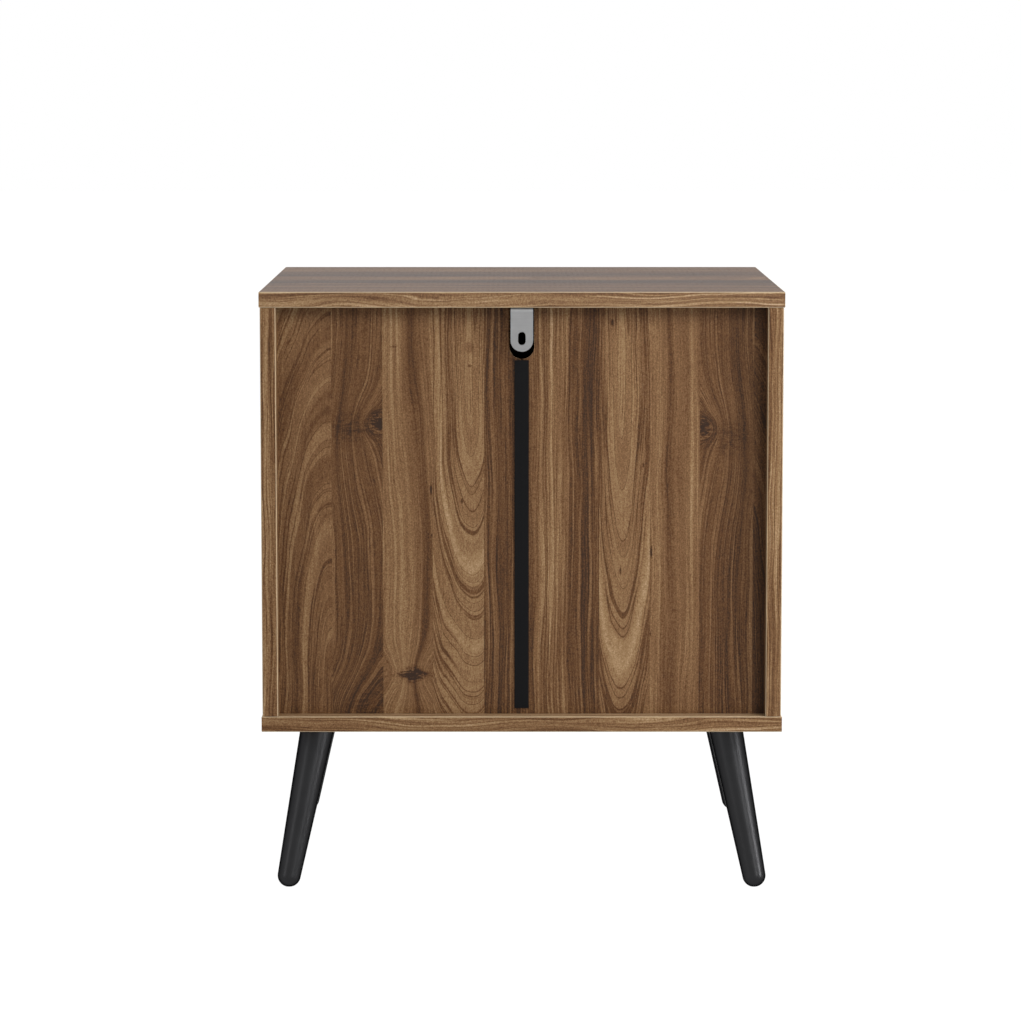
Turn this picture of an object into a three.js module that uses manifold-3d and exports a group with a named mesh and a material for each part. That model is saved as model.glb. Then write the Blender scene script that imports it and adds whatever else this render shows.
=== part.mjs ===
import * as THREE from 'three';
import { mergeVertices } from 'three/addons/utils/BufferGeometryUtils.js';
import Module from 'manifold-3d';

// A bedside cabinet of walnut-faced board on four splayed round legs. Two inset drawers run on
// telescopic ball-bearing slides. The recessed back is in two halves, held together by a plastic
// strip, and has a notch through which a steel bracket is screwed to the wall.
// Millimetres, +Z up, drawers open towards -Y, the back faces +Y.

// Carcass: top, bottom and two sides
const cabinetWidth = 500;
const cabinetDepth = 450;
const carcassHeight = 423;
const boardThickness = 15;
const sideInset = 1;
const edgeEase = 0.8;
const seam = 0.1;

// Back: two thin halves in grooves, with a round-ended notch at the top of their seam
const backRecess = 18;
const backThickness = 3;
const grooveDepth = 6;
const grooveClearance = 0.2;
const notchRadius = 12;
const notchDrop = 50.2;

// Joining strip: an H section over the seam of the back
const stripWidth = 13.5;
const stripSheet = 1.2;
const stripFootGap = 5.6;
const stripHeadGap = 1;

// Wall bracket: an angle of steel strip, screwed under the top, its slot towards the wall
const bracketWidth = 21.4;
const bracketDrop = 41.8;
const bracketReach = 44;
const bracketSheet = 2;
const bracketBend = 2;
const bracketSetback = 0.3;
const bracketSlotWidth = 7.2;
const bracketSlotLength = 12.4;
const bracketSlotDrop = 23;
const bracketScrewPlaces = { rear: 10.5, front: 33 };
const bracketScrewRadius = 1.75;
const bracketScrewLength = 12;
const bracketScrewHeadRadius = 3.75;
const bracketScrewHeadHeight = 2.4;

// Legs: round and tapered, leaning outwards, with a ball-shaped foot. The insets are those of
// the centre of a leg's top, and the leans say how far further out its foot is.
const legHeight = 158;
const legTopRadius = 16.8;
const legTipRadius = 11.3;
const frontLegInsetX = 50.8;
const frontLegInsetY = 46.5;
const rearLegInsetX = 52;
const rearLegInsetY = 63;
const legLeanX = 28.4;
const legLeanY = 28;
const footFlatRadius = 4;

// Leg fixing: a hanger bolt in the leg and a threaded insert in the bottom board
const boltRadius = 4;
const boltLengthInLeg = 30;
const boltLengthInInsert = 11;
const insertRadius = 6;
const insertLength = 12;
const holeClearance = 0.3;

// Drawers: an inset front on a box of thinner board
const drawerReveal = 2.5;
const frontRecess = 1;
const frontThickness = 15;
const boxBoard = 12;
const boxHeight = 118;
const boxRearGap = 13;
const boxRise = 18;
const boxBottomThickness = 3;
const boxBottomRise = 10;
const boxGrooveDepth = 5;

// Knob: a turned knob, screwed from inside the drawer
const knobRadius = 14;
const knobBaseRadius = 9;
const knobNeckRadius = 6;
const knobProjection = 24;
const knobBaseHeight = 3;
const knobNeckHeight = 9;
const knobCapHeight = 9;
const knobScrewRadius = 2;
const knobScrewDepth = 12;
const knobScrewHeadRadius = 4.2;
const knobScrewHeadHeight = 2.4;

// Slides: three bent steel members, one inside the other, and two ball cages between them
const slideHeight = 45.4;
const slideDepth = 12.7;
const slideSheet = 1.2;
const slideSetback = 1;
const slideRise = 50;
const ballRadius = 1.75;
const ballClearance = 0.25;
const runningClearance = 0.3;
const cageSheet = 0.6;
const cageLength = 150;
const cageEndMargin = 15;
const ballsPerRow = 4;
const raceAngle = Math.PI / 6;
const lipAngle = Math.PI / 3.6;
const slideSlotWidth = 4.6;
const slideSlotLength = 10;
const slideSlotEndMargin = 36;
const slideSlotCount = 3;

// Facets of round shapes, and how far a cutting shape runs past the face that it cuts
const roundSteps = 24;
const smallRoundSteps = 12;
const arcSteps = 5;
const slotSteps = 3;
const easeSteps = 2;
const overrun = 1;

// Places that follow from the sizes above
const bottomTop = legHeight + boardThickness;
const topUnderside = legHeight + carcassHeight - boardThickness;
const sideHeight = carcassHeight - 2 * boardThickness - 2 * seam;
const sideOuter = cabinetWidth / 2 - sideInset;
const sideInner = sideOuter - boardThickness;
const rearEdge = cabinetDepth / 2;
const frontEdge = -cabinetDepth / 2;
const backCentre = rearEdge - backRecess - backThickness / 2;
const grooveWidth = backThickness + 2 * grooveClearance;
const notchBottom = topUnderside - notchDrop;
const stripFoot = bottomTop + stripFootGap;
const frontHeight = (topUnderside - bottomTop - 3 * drawerReveal) / 2;
const frontBack = frontEdge + frontRecess + frontThickness;
const boxOuter = sideInner - slideDepth - 2 * seam;
const boxLength = backCentre - backThickness / 2 - boxRearGap - frontBack;
const slideLength = boxLength;

const wasm = await Module();
wasm.setup();

// The same faces with shared corners and without faces that have no area
function weld(geometry) {
  const bare = geometry.clone();
  bare.deleteAttribute('normal');
  bare.deleteAttribute('uv');
  const welded = mergeVertices(bare);
  const corners = welded.index.array;
  const kept = [];
  for (let i = 0; i < corners.length; i += 3) {
    const [a, b, c] = [corners[i], corners[i + 1], corners[i + 2]];
    if (a !== b && b !== c && c !== a) kept.push(a, b, c);
  }
  welded.setIndex(kept);
  return welded;
}

function toSolid(geometry) {
  const welded = weld(geometry);
  return new wasm.Manifold(new wasm.Mesh({
    numProp: 3,
    vertProperties: welded.attributes.position.array,
    triVerts: Uint32Array.from(welded.index.array),
  }));
}

function toGeometry(solid) {
  const faces = solid.getMesh();
  const geometry = new THREE.BufferGeometry();
  geometry.setAttribute('position', new THREE.BufferAttribute(faces.vertProperties, 3));
  geometry.setIndex(new THREE.BufferAttribute(faces.triVerts, 1));
  geometry.computeVertexNormals();
  return geometry;
}

function cut(body, tools) {
  return toGeometry(tools.reduce((solid, tool) => solid.subtract(toSolid(tool)), toSolid(body)));
}

function join(body, pieces) {
  return toGeometry(pieces.reduce((solid, piece) => solid.add(toSolid(piece)), toSolid(body)));
}

function overlapOf(body, shapes) {
  return toGeometry(shapes.reduce((solid, shape) => solid.intersect(toSolid(shape)), toSolid(body)));
}

// A block between two opposite corners
function block(low, high) {
  const geometry = new THREE.BoxGeometry(high[0] - low[0], high[1] - low[1], high[2] - low[2]);
  geometry.translate((low[0] + high[0]) / 2, (low[1] + high[1]) / 2, (low[2] + high[2]) / 2);
  return geometry;
}

// A round rod along Z, from one height to another
function rodZ(radius, low, high, steps = smallRoundSteps) {
  const geometry = new THREE.CylinderGeometry(radius, radius, high - low, steps);
  geometry.rotateX(Math.PI / 2);
  geometry.translate(0, 0, (low + high) / 2);
  return geometry;
}

// A round rod along Y, from one place to another
function rodY(radius, low, high) {
  const geometry = new THREE.CylinderGeometry(radius, radius, high - low, smallRoundSteps);
  geometry.translate(0, (low + high) / 2, 0);
  return geometry;
}

// A profile drawn in X and Z, drawn out along Y and centred on it
function extrudeAlongY(shape, length) {
  const geometry = new THREE.ExtrudeGeometry(shape, {
    depth: length,
    bevelEnabled: false,
    curveSegments: smallRoundSteps,
  });
  geometry.rotateX(Math.PI / 2);
  geometry.translate(0, length / 2, 0);
  return geometry;
}

function rectangle(sizeX, sizeY) {
  const shape = new THREE.Shape();
  shape.moveTo(-sizeX / 2, -sizeY / 2);
  shape.lineTo(sizeX / 2, -sizeY / 2);
  shape.lineTo(sizeX / 2, sizeY / 2);
  shape.lineTo(-sizeX / 2, sizeY / 2);
  shape.closePath();
  return shape;
}

// A slot with round ends, long along the second axis
function slotOutline(slotWidth, slotLength) {
  const radius = slotWidth / 2;
  const reach = slotLength / 2 - radius;
  const shape = new THREE.Shape();
  shape.absarc(0, reach, radius, 0, Math.PI, false);
  shape.absarc(0, -reach, radius, Math.PI, 2 * Math.PI, false);
  shape.closePath();
  return shape;
}

// A board centred on the origin, its thickness along Z, with both faces' edges eased
function boardFlat(sizeX, sizeY, thickness, ease = edgeEase) {
  const geometry = new THREE.ExtrudeGeometry(rectangle(sizeX, sizeY), {
    depth: thickness - 2 * ease,
    bevelEnabled: true,
    bevelThickness: ease,
    bevelSize: ease,
    bevelOffset: -ease,
    bevelSegments: easeSteps,
  });
  geometry.translate(0, 0, ease - thickness / 2);
  return geometry;
}

// The same board standing with its thickness along X
function boardSide(sizeY, sizeZ, thickness, ease = edgeEase) {
  const geometry = boardFlat(sizeZ, sizeY, thickness, ease);
  geometry.rotateY(Math.PI / 2);
  return geometry;
}

// The same board standing with its thickness along Y
function boardFront(sizeX, sizeZ, thickness, ease = edgeEase) {
  const geometry = boardFlat(sizeX, sizeZ, thickness, ease);
  geometry.rotateX(Math.PI / 2);
  return geometry;
}

function finish(color, roughness, metalness) {
  return new THREE.MeshStandardMaterial({ color, roughness, metalness });
}

const walnutFinish = () => finish(0x7d5a3c, 0.5, 0);
const blackPaintFinish = () => finish(0x1c1c1d, 0.45, 0);
const blackPlasticFinish = () => finish(0x18181a, 0.6, 0);
const steelFinish = () => finish(0xa6a7aa, 0.4, 0.9);
const bracketFinish = () => finish(0x939393, 0.55, 0.6);

// Adds a named piece to its group at a place
function place(group, name, geometry, material, x, y, z) {
  const mesh = new THREE.Mesh(geometry, material);
  mesh.name = name;
  mesh.position.set(x, y, z);
  group.add(mesh);
  return mesh;
}

// A pan-head screw, its shank up along Z from the underside of the head
function screw(radius, length, headRadius, headHeight) {
  const profile = [
    new THREE.Vector2(0, -headHeight),
    new THREE.Vector2(headRadius / 2, -headHeight),
    new THREE.Vector2(headRadius, -headHeight / 2),
    new THREE.Vector2(headRadius, 0),
    new THREE.Vector2(radius, 0),
    new THREE.Vector2(radius, length - radius),
    new THREE.Vector2(0, length),
  ];
  const geometry = new THREE.LatheGeometry(profile, smallRoundSteps);
  geometry.rotateX(Math.PI / 2);
  return geometry;
}

// The four places where legs are fixed: the signs of X and Y, and the centre of the leg's top
const corners = [];
for (const [end, signY, insetX, insetY] of [
  ['front', -1, frontLegInsetX, frontLegInsetY],
  ['rear', 1, rearLegInsetX, rearLegInsetY],
]) {
  for (const [side, signX] of [['left', -1], ['right', 1]]) {
    const x = signX * (cabinetWidth / 2 - insetX);
    const y = signY * (cabinetDepth / 2 - insetY);
    corners.push({ name: `${end}_${side}`, signX, signY, x, y });
  }
}

// The slot that the back halves sit in, cut across a board's inner face
function backGroove(low, high) {
  return block(
    [low[0], backCentre - grooveWidth / 2, low[1]],
    [high[0], backCentre + grooveWidth / 2, high[1]],
  );
}

function topPanel() {
  const under = -boardThickness / 2;
  const reach = sideInner + grooveDepth;
  const pilots = Object.values(bracketScrewPlaces).map((place) => {
    const tip = bracketScrewLength - bracketSheet + holeClearance;
    const pilot = rodZ(bracketScrewRadius + holeClearance, under - overrun, under + tip);
    pilot.translate(0, rearEdge - place, 0);
    return pilot;
  });
  const groove = backGroove([-reach, under - overrun], [reach, under + grooveDepth]);
  return cut(boardFlat(cabinetWidth, cabinetDepth, boardThickness), [groove, ...pilots]);
}

function bottomPanel() {
  const upper = boardThickness / 2;
  const reach = sideInner + grooveDepth;
  const sockets = corners.map(({ x, y }) => {
    const ceiling = insertLength + holeClearance - upper;
    const socket = rodZ(insertRadius + holeClearance, -upper - overrun, ceiling);
    socket.translate(x, y, 0);
    return socket;
  });
  const groove = backGroove([-reach, upper - grooveDepth], [reach, upper + overrun]);
  return cut(boardFlat(cabinetWidth, cabinetDepth, boardThickness), [groove, ...sockets]);
}

// A side board, its inner face towards the given direction along X
function sidePanel(inward) {
  const face = inward * boardThickness / 2;
  const ends = [face + inward * overrun, face - inward * grooveDepth];
  const halfHeight = sideHeight / 2 + overrun;
  const groove = backGroove([Math.min(...ends), -halfHeight], [Math.max(...ends), halfHeight]);
  return cut(boardSide(cabinetDepth, sideHeight, boardThickness), [groove]);
}

// The right half of the back: a thin board with half of the notch, and a ledge under the joining strip
function backHalf() {
  const innerX = stripSheet / 2 + grooveClearance;
  const outerX = sideInner + grooveDepth - grooveClearance;
  const lowZ = bottomTop - grooveDepth + grooveClearance;
  const highZ = topUnderside + grooveDepth - grooveClearance;
  const shape = new THREE.Shape();
  shape.moveTo(seam / 2, lowZ);
  shape.lineTo(outerX, lowZ);
  shape.lineTo(outerX, highZ);
  shape.lineTo(notchRadius, highZ);
  shape.absarc(0, notchBottom + notchRadius, notchRadius, 0, -Math.acos(innerX / notchRadius), true);
  shape.lineTo(innerX, stripFoot - seam);
  shape.lineTo(seam / 2, stripFoot - seam);
  shape.closePath();
  return extrudeAlongY(shape, backThickness);
}

// The joining strip: two flanges and the web between the halves of the back
function joiningStrip() {
  const channel = backThickness / 2 + grooveClearance;
  const length = notchBottom - stripHeadGap - stripFoot;
  const web = stripSheet / 2;
  const face = channel + stripSheet;
  const shape = new THREE.Shape();
  shape.moveTo(-stripWidth / 2, -face);
  shape.lineTo(stripWidth / 2, -face);
  shape.lineTo(stripWidth / 2, -channel);
  shape.lineTo(web, -channel);
  shape.lineTo(web, channel);
  shape.lineTo(stripWidth / 2, channel);
  shape.lineTo(stripWidth / 2, face);
  shape.lineTo(-stripWidth / 2, face);
  shape.lineTo(-stripWidth / 2, channel);
  shape.lineTo(-web, channel);
  shape.lineTo(-web, -channel);
  shape.lineTo(-stripWidth / 2, -channel);
  shape.closePath();
  return new THREE.ExtrudeGeometry(shape, { depth: length, bevelEnabled: false });
}

// The wall bracket, drawn from its outer corner: one leg under the top, one hanging down
function wallBracket() {
  const bend = bracketBend + bracketSheet;
  const section = new THREE.Shape();
  section.moveTo(-bracketReach, 0);
  section.lineTo(-bend, 0);
  section.absarc(-bend, -bend, bend, Math.PI / 2, 0, true);
  section.lineTo(0, -bracketDrop);
  section.lineTo(-bracketSheet, -bracketDrop);
  section.absarc(-bend, -bend, bracketBend, 0, Math.PI / 2, false);
  section.lineTo(-bracketReach, -bracketSheet);
  section.closePath();
  const angle = new THREE.ExtrudeGeometry(section, {
    depth: bracketWidth,
    bevelEnabled: false,
    curveSegments: arcSteps,
  });
  angle.translate(0, 0, -bracketWidth / 2);
  angle.rotateX(Math.PI / 2);
  angle.rotateZ(Math.PI / 2);
  const hangingOutline = extrudeAlongY(roundEndedStrip(bracketDrop), 2 * (bracketReach + overrun));
  const lyingOutline = new THREE.ExtrudeGeometry(roundEndedStrip(bracketReach), {
    depth: 2 * (bracketDrop + overrun),
    bevelEnabled: false,
  });
  lyingOutline.translate(0, 0, -bracketDrop - overrun);
  const slot = extrudeAlongY(slotOutline(bracketSlotWidth, bracketSlotLength), 2 * bend);
  slot.translate(0, 0, -bracketSlotDrop - bracketSlotLength / 2);
  const holes = Object.values(bracketScrewPlaces).map((place) => {
    const hole = rodZ(bracketScrewRadius + holeClearance, -bracketSheet - overrun, overrun);
    hole.translate(0, bracketSetback - place, 0);
    return hole;
  });
  return cut(overlapOf(angle, [hangingOutline, lyingOutline]), [slot, ...holes]);
}

// The outline of one leg of the bracket: straight, with a round end
function roundEndedStrip(reach) {
  const radius = bracketWidth / 2;
  const shape = new THREE.Shape();
  shape.moveTo(radius, overrun);
  shape.lineTo(-radius, overrun);
  shape.absarc(0, radius - reach, radius, Math.PI, 2 * Math.PI, false);
  shape.closePath();
  return shape;
}

// A leg, drawn from the centre of its top face, leaning outwards to its foot
function leg(signX, signY) {
  const tipHeight = Math.sqrt(legTipRadius ** 2 - footFlatRadius ** 2);
  const lean = new THREE.Vector3(signX * legLeanX, signY * legLeanY, tipHeight - legHeight);
  const axisLength = lean.length();
  const slope = (legTopRadius - legTipRadius) / axisLength;
  const profile = [];
  for (let i = 0; i <= arcSteps; i += 1) {
    const turn = (i / arcSteps - 1) * Math.PI / 2;
    profile.push(new THREE.Vector2(legTipRadius * Math.cos(turn), legTipRadius * Math.sin(turn)));
  }
  profile[0].x = 0;
  profile.push(new THREE.Vector2(legTopRadius + slope * legTopRadius, axisLength + legTopRadius));
  profile.push(new THREE.Vector2(0, axisLength + legTopRadius));
  const turned = new THREE.LatheGeometry(profile, roundSteps);
  const upAlongLeg = lean.clone().negate().normalize();
  const tilt = new THREE.Quaternion().setFromUnitVectors(new THREE.Vector3(0, 1, 0), upAlongLeg);
  turned.applyQuaternion(tilt);
  turned.translate(lean.x, lean.y, lean.z);
  const reach = axisLength;
  const levelled = overlapOf(turned, [block([-reach, -reach, -legHeight], [reach, reach, -seam])]);
  const boltHole = rodZ(boltRadius + holeClearance, -boltLengthInLeg - holeClearance, overrun);
  return cut(levelled, [boltHole]);
}

// The hanger bolt, from its lower end in the leg to its upper end in the insert
function legBolt() {
  return rodZ(boltRadius, -boltLengthInLeg, boltLengthInInsert);
}

// The threaded insert, a plain sleeve
function legInsert() {
  const bore = boltRadius + holeClearance;
  const profile = [
    new THREE.Vector2(bore, 0),
    new THREE.Vector2(insertRadius, 0),
    new THREE.Vector2(insertRadius, insertLength),
    new THREE.Vector2(bore, insertLength),
    new THREE.Vector2(bore, 0),
  ];
  const geometry = new THREE.LatheGeometry(profile, smallRoundSteps);
  geometry.rotateX(Math.PI / 2);
  return geometry;
}

// A turned knob, its base against the drawer front and its cap towards -Y
function knob() {
  const capStart = knobProjection - knobCapHeight;
  const profile = [
    new THREE.Vector2(0, 0),
    new THREE.Vector2(knobBaseRadius, 0),
    new THREE.Vector2(knobBaseRadius, knobBaseHeight),
  ];
  const neck = new THREE.CubicBezierCurve(
    new THREE.Vector2(knobNeckRadius, knobBaseHeight),
    new THREE.Vector2(knobNeckRadius, knobNeckHeight),
    new THREE.Vector2(knobNeckRadius, capStart),
    new THREE.Vector2(knobRadius, capStart),
  );
  profile.push(...neck.getPoints(arcSteps));
  const capEdge = knobCapHeight / 2;
  for (let i = 1; i <= arcSteps; i += 1) {
    const turn = (i / arcSteps) * Math.PI / 2;
    const reach = knobRadius - capEdge + capEdge * Math.cos(turn);
    profile.push(new THREE.Vector2(reach, capStart + capEdge + capEdge * Math.sin(turn)));
  }
  profile.push(new THREE.Vector2(0, knobProjection));
  const turned = new THREE.LatheGeometry(profile, roundSteps);
  turned.rotateX(Math.PI);
  return cut(turned, [rodY(knobScrewRadius + holeClearance, -knobScrewDepth - holeClearance, overrun)]);
}

// A groove for the drawer bottom, cut level across one face of a standing board
function bottomGroove(low, high) {
  const clearance = grooveClearance;
  return block(
    [low[0], low[1], boxBottomRise - clearance - boxHeight / 2],
    [high[0], high[1], boxBottomRise + boxBottomThickness + clearance - boxHeight / 2],
  );
}

function boxSide(inward) {
  const face = inward * boxBoard / 2;
  const ends = [face + inward * overrun, face - inward * boxGrooveDepth];
  const halfLength = boxLength / 2 + overrun;
  const groove = bottomGroove([Math.min(...ends), -halfLength], [Math.max(...ends), halfLength]);
  return cut(boardSide(boxLength, boxHeight, boxBoard), [groove]);
}

function boxBack() {
  const halfWidth = boxOuter - boxBoard - seam;
  const face = -boxBoard / 2;
  const groove = bottomGroove(
    [-halfWidth - overrun, face - overrun],
    [halfWidth + overrun, face + boxGrooveDepth],
  );
  return cut(boardFront(2 * halfWidth, boxHeight, boxBoard), [groove]);
}

function drawerFront() {
  const halfWidth = boxOuter - boxBoard + boxGrooveDepth;
  const face = frontThickness / 2;
  const groove = bottomGroove([-halfWidth, face - boxGrooveDepth], [halfWidth, face + overrun]);
  groove.translate(0, 0, boxRise + boxHeight / 2 - frontHeight / 2);
  const screwHole = rodY(knobScrewRadius + holeClearance, -face - overrun, face + overrun);
  const board = boardFront(2 * (sideInner - drawerReveal), frontHeight, frontThickness);
  return cut(board, [groove, screwHole]);
}

// One drawer, drawn from the middle of its front's lower edge at the carcass's front plane
function drawer(name, baseZ) {
  const group = new THREE.Group();
  group.position.set(0, frontEdge, baseZ);
  const frontY = frontRecess + frontThickness / 2;
  const boxFront = frontRecess + frontThickness + seam;
  const boxCentreZ = boxRise + boxHeight / 2;
  const knobZ = frontHeight / 2;
  place(group, `${name}_front`, drawerFront(), walnutFinish(), 0, frontY, frontHeight / 2);
  const sideX = boxOuter - boxBoard / 2;
  const sideY = boxFront + boxLength / 2;
  place(group, `${name}_side_left`, boxSide(1), walnutFinish(), -sideX, sideY, boxCentreZ);
  place(group, `${name}_side_right`, boxSide(-1), walnutFinish(), sideX, sideY, boxCentreZ);
  const backY = boxFront + boxLength - boxBoard / 2;
  place(group, `${name}_back`, boxBack(), walnutFinish(), 0, backY, boxCentreZ);
  const bottomX = boxOuter - boxBoard + boxGrooveDepth - grooveClearance;
  const bottomLow = boxFront - seam - boxGrooveDepth + grooveClearance;
  const bottomHigh = boxFront + boxLength - boxBoard + boxGrooveDepth - grooveClearance;
  const bottomZ = boxRise + boxBottomRise + boxBottomThickness / 2;
  const bottom = block(
    [-bottomX, bottomLow, -boxBottomThickness / 2],
    [bottomX, bottomHigh, boxBottomThickness / 2],
  );
  place(group, `${name}_bottom`, bottom, walnutFinish(), 0, 0, bottomZ);
  place(group, `${name}_knob`, knob(), blackPaintFinish(), 0, frontRecess - seam, knobZ);
  const screwLength = frontThickness + knobScrewDepth;
  const fixing = screw(knobScrewRadius, screwLength, knobScrewHeadRadius, knobScrewHeadHeight);
  fixing.rotateX(Math.PI / 2);
  place(group, `${name}_knob_screw`, fixing, steelFinish(), 0, boxFront, knobZ);
  return group;
}

// Section of a slide, measured from the cabinet side (across) and from its middle (up).
// The middle lines of the bent sheets follow the balls at a constant distance.
const raceRadius = ballRadius + ballClearance;
const bendRadius = raceRadius + slideSheet / 2;
const rimRadius = bendRadius + slideSheet / 2;
const middleWeb = 1.5 * slideSheet + 2 * runningClearance + cageSheet;
const drawerWeb = slideDepth - slideSheet / 2;
const rowDrop = rimRadius + runningClearance + cageSheet / 2;
const raceSide = bendRadius * Math.sin(raceAngle);
const raceUp = bendRadius * Math.cos(raceAngle);
const rowSpread = 2 * raceSide + (2 * raceUp - rowDrop) / Math.tan(raceAngle);
const outerRow = new THREE.Vector2(
  middleWeb + slideSheet + raceSide,
  slideHeight / 2 - slideSheet - raceRadius,
);
const innerRow = new THREE.Vector2(outerRow.x + rowSpread, outerRow.y - rowDrop);

// Points of a bend around a ball row, from one angle to another, counted from straight up
function bendPoints(row, fromAngle, toAngle) {
  const points = [];
  for (let i = 0; i <= arcSteps; i += 1) {
    const angle = fromAngle + (toAngle - fromAngle) * i / arcSteps;
    const offset = new THREE.Vector2(bendRadius * Math.sin(angle), bendRadius * Math.cos(angle));
    points.push(offset.add(row));
  }
  return points;
}

// A bent sheet's outline: its middle line, mirrored below, given a thickness
function sheetOutline(upperHalf, sheet, sign) {
  const lowerHalf = upperHalf.map((point) => new THREE.Vector2(point.x, -point.y)).reverse();
  const line = [...lowerHalf, ...upperHalf].map((point) => new THREE.Vector2(sign * point.x, point.y));
  const near = [];
  const far = [];
  line.forEach((point, i) => {
    const before = i > 0 ? point.clone().sub(line[i - 1]).normalize() : null;
    const after = i < line.length - 1 ? line[i + 1].clone().sub(point).normalize() : null;
    const along = (before ?? after).clone().add(after ?? before).normalize();
    const across = new THREE.Vector2(-along.y, along.x);
    const spread = sheet / 2 / along.dot(after ?? before);
    near.push(point.clone().addScaledVector(across, spread));
    far.push(point.clone().addScaledVector(across, -spread));
  });
  return new THREE.Shape([...near, ...far.reverse()]);
}

// Fixing slots along a member's web
function webSlots(web, sign) {
  const slots = [];
  const pitch = (slideLength - 2 * slideSlotEndMargin) / (slideSlotCount - 1);
  for (let i = 0; i < slideSlotCount; i += 1) {
    const slot = new THREE.ExtrudeGeometry(slotOutline(slideSlotWidth, slideSlotLength), {
      depth: 2 * slideSheet,
      bevelEnabled: false,
      curveSegments: slotSteps,
    });
    slot.translate(0, 0, -slideSheet);
    slot.rotateY(Math.PI / 2);
    slot.translate(sign * web, slideSlotEndMargin + i * pitch - slideLength / 2, 0);
    slots.push(slot);
  }
  return slots;
}

function cabinetMember(sign) {
  const web = slideSheet / 2;
  const upperHalf = [
    new THREE.Vector2(web, outerRow.y + raceUp),
    ...bendPoints(outerRow, -raceAngle, lipAngle),
  ];
  const bent = extrudeAlongY(sheetOutline(upperHalf, slideSheet, sign), slideLength);
  return cut(bent, webSlots(web, sign));
}

function middleMember(sign) {
  const upperHalf = [
    new THREE.Vector2(middleWeb, outerRow.y - raceUp),
    ...bendPoints(outerRow, Math.PI + raceAngle, Math.PI - raceAngle),
    ...bendPoints(innerRow, -raceAngle, lipAngle),
  ];
  return extrudeAlongY(sheetOutline(upperHalf, slideSheet, sign), slideLength);
}

function drawerMember(sign) {
  const upperHalf = [
    new THREE.Vector2(drawerWeb, innerRow.y - raceUp),
    ...bendPoints(innerRow, Math.PI - raceAngle, Math.PI + lipAngle),
  ];
  const bent = extrudeAlongY(sheetOutline(upperHalf, slideSheet, sign), slideLength);
  return cut(bent, webSlots(drawerWeb, sign));
}

// A ball cage: a thin bent strip with the balls of an upper and a lower row in its arms
function ballCage(web, row, sign) {
  const upperHalf = [
    new THREE.Vector2(web, row.y),
    new THREE.Vector2(row.x + raceRadius, row.y),
  ];
  const strip = extrudeAlongY(sheetOutline(upperHalf, cageSheet, sign), cageLength);
  const pitch = (cageLength - 2 * cageEndMargin) / (ballsPerRow - 1);
  const balls = [];
  for (const upDown of [-1, 1]) {
    for (let i = 0; i < ballsPerRow; i += 1) {
      const ball = new THREE.IcosahedronGeometry(ballRadius, 0);
      ball.translate(sign * row.x, cageEndMargin + i * pitch - cageLength / 2, upDown * row.y);
      balls.push(ball);
    }
  }
  return join(strip, balls);
}

// One slide, drawn from the cabinet side's inner face, its members one inside the other
function slide(name, sign, group, z) {
  const x = sign * (sideInner - seam);
  const y = frontBack + slideSetback + slideLength / 2;
  const outerCageWeb = slideSheet + runningClearance + cageSheet / 2;
  const drawerMemberLip = innerRow.x - rimRadius * Math.sin(lipAngle);
  const innerCageWeb = drawerMemberLip - runningClearance - cageSheet / 2;
  const pieces = {
    cabinet_member: cabinetMember(-sign),
    outer_ball_cage: ballCage(outerCageWeb, outerRow, -sign),
    middle_member: middleMember(-sign),
    inner_ball_cage: ballCage(innerCageWeb, innerRow, -sign),
    drawer_member: drawerMember(-sign),
  };
  for (const [pieceName, geometry] of Object.entries(pieces)) {
    place(group, `${name}_${pieceName}`, geometry, steelFinish(), x, y, z);
  }
}

function carcass() {
  const group = new THREE.Group();
  const topZ = topUnderside + boardThickness / 2;
  const sideZ = bottomTop + seam + sideHeight / 2;
  const sideX = sideOuter - boardThickness / 2;
  place(group, 'top_panel', topPanel(), walnutFinish(), 0, 0, topZ);
  place(group, 'bottom_panel', bottomPanel(), walnutFinish(), 0, 0, legHeight + boardThickness / 2);
  place(group, 'side_panel_left', sidePanel(1), walnutFinish(), -sideX, 0, sideZ);
  place(group, 'side_panel_right', sidePanel(-1), walnutFinish(), sideX, 0, sideZ);
  place(group, 'back_panel_right', backHalf(), walnutFinish(), 0, backCentre, 0);
  const leftHalf = place(group, 'back_panel_left', backHalf(), walnutFinish(), 0, backCentre, 0);
  leftHalf.rotation.z = Math.PI;
  place(group, 'back_joining_strip', joiningStrip(), blackPlasticFinish(), 0, backCentre, stripFoot);
  return group;
}

function wallFixing() {
  const group = new THREE.Group();
  const under = topUnderside - seam;
  place(group, 'wall_bracket', wallBracket(), bracketFinish(), 0, rearEdge - bracketSetback, under);
  for (const [name, setback] of Object.entries(bracketScrewPlaces)) {
    const fixing = screw(
      bracketScrewRadius,
      bracketScrewLength,
      bracketScrewHeadRadius,
      bracketScrewHeadHeight,
    );
    const z = under - bracketSheet - seam;
    place(group, `wall_bracket_screw_${name}`, fixing, steelFinish(), 0, rearEdge - setback, z);
  }
  return group;
}

function legs() {
  const group = new THREE.Group();
  for (const { name, signX, signY, x, y } of corners) {
    place(group, `leg_${name}`, leg(signX, signY), blackPaintFinish(), x, y, legHeight);
    place(group, `leg_bolt_${name}`, legBolt(), steelFinish(), x, y, legHeight);
    place(group, `leg_insert_${name}`, legInsert(), steelFinish(), x, y, legHeight);
  }
  return group;
}

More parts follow.
